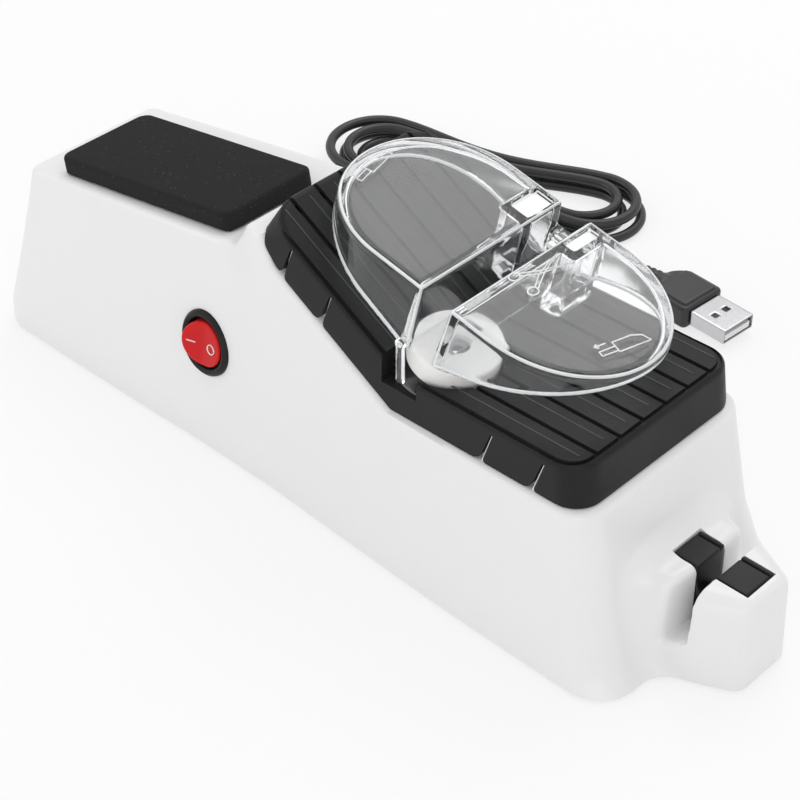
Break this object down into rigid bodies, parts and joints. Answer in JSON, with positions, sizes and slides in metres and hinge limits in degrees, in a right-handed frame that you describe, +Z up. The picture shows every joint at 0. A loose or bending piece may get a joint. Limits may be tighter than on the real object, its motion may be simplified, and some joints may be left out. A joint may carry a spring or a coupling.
{
  "type": "electric knife sharpener",
  "caption": "White electric knife sharpener with a clear wheel guard over a black ribbed guide, a hone pad, a nose slot, a red rocker switch and a USB cord.",
  "frame": {"origin": "centre of the body's footprint box, on the surface that the feet rest on, cord and plug left out", "axes": "+Z up, +X along the body towards the nose slot, -Y towards the side with the rocker switch"},
  "size_m": [0.2319, 0.1656, 0.0857],
  "materials": {
    "white_gloss": "glossy white ABS housing",
    "black_satin": "satin black moulded plastic",
    "hone_black": "fine matt black honing surface",
    "insert_black": "semi-gloss black plastic",
    "clear": "clear moulded plastic, slightly grey at the edges",
    "rocker_red": "glossy red plastic with white on and off marks",
    "wheel_white": "fine white ceramic grit",
    "hub_grey": "grey moulded plastic",
    "steel": "bright steel",
    "brass": "plain brass",
    "copper": "copper winding",
    "magnet_grey": "dark ferrite",
    "rubber": "soft black rubber",
    "cord_black": "smooth black PVC cord",
    "wire_red": "red wire sleeve",
    "wire_black": "black wire sleeve",
    "plate_white": "white plastic, lightly textured"
  },
  "bodies": {
    "base": {"upper_housing": "white_gloss", "base_plate": "plate_white", "guide_cover": "black_satin", "hone_pad": "hone_black", "nose_insert": "insert_black", "hone_blade_1": "steel", "hone_blade_2": "steel", "motor_can": "steel", "motor_bush": "brass", "motor_end_cap": "insert_black", "motor_bracket": "steel", "motor_magnet_1": "magnet_grey", "motor_magnet_2": "magnet_grey", "motor_terminal_1": "brass", "motor_terminal_2": "brass", "motor_screw_1": "steel", "motor_screw_2": "steel", "bracket_screw_1": "steel", "bracket_screw_2": "steel", "switch_bezel": "black_satin", "switch_terminal_1": "brass", "switch_terminal_2": "brass", "base_screw_1": "steel", "base_screw_2": "steel", "base_screw_3": "steel", "base_screw_4": "steel", "foot_1": "rubber", "foot_2": "rubber", "foot_3": "rubber", "foot_4": "rubber", "cable_grommet": "rubber", "motor_wire": "wire_red", "feed_wire": "wire_red", "return_wire": "wire_black", "supply_cord": "cord_black", "cord_hank": "cord_black", "plug_cord": "cord_black", "usb_overmold": "cord_black", "usb_shell": "steel", "usb_tongue": "plate_white"},
    "drive": {"grinding_wheel": "wheel_white", "wheel_hub": "hub_grey", "drive_shaft": "steel", "motor_rotor": "copper"},
    "rocker": {"switch_rocker": "rocker_red"},
    "guard": {"clear_guard": "clear"}
  },
  "joints": [
    {"name": "wheel_spin", "type": "hinge", "parent": "base", "child": "drive", "pos_m": [0.0353, -0.0144, 0.06], "axis": [0.2079, 0, 0.9781], "continuous": true},
    {"name": "rocker_tilt", "type": "hinge", "parent": "base", "child": "rocker", "pos_m": [-0.0353, -0.0279, 0.0299], "axis": [0.0083, 0.1476, 0.989], "range_deg": [-22, 0]},
    {"name": "guard_lift", "type": "slide", "parent": "base", "child": "guard", "axis": [0.1959, 0, 0.9806], "range_m": [0, 0.03]}
  ]
}
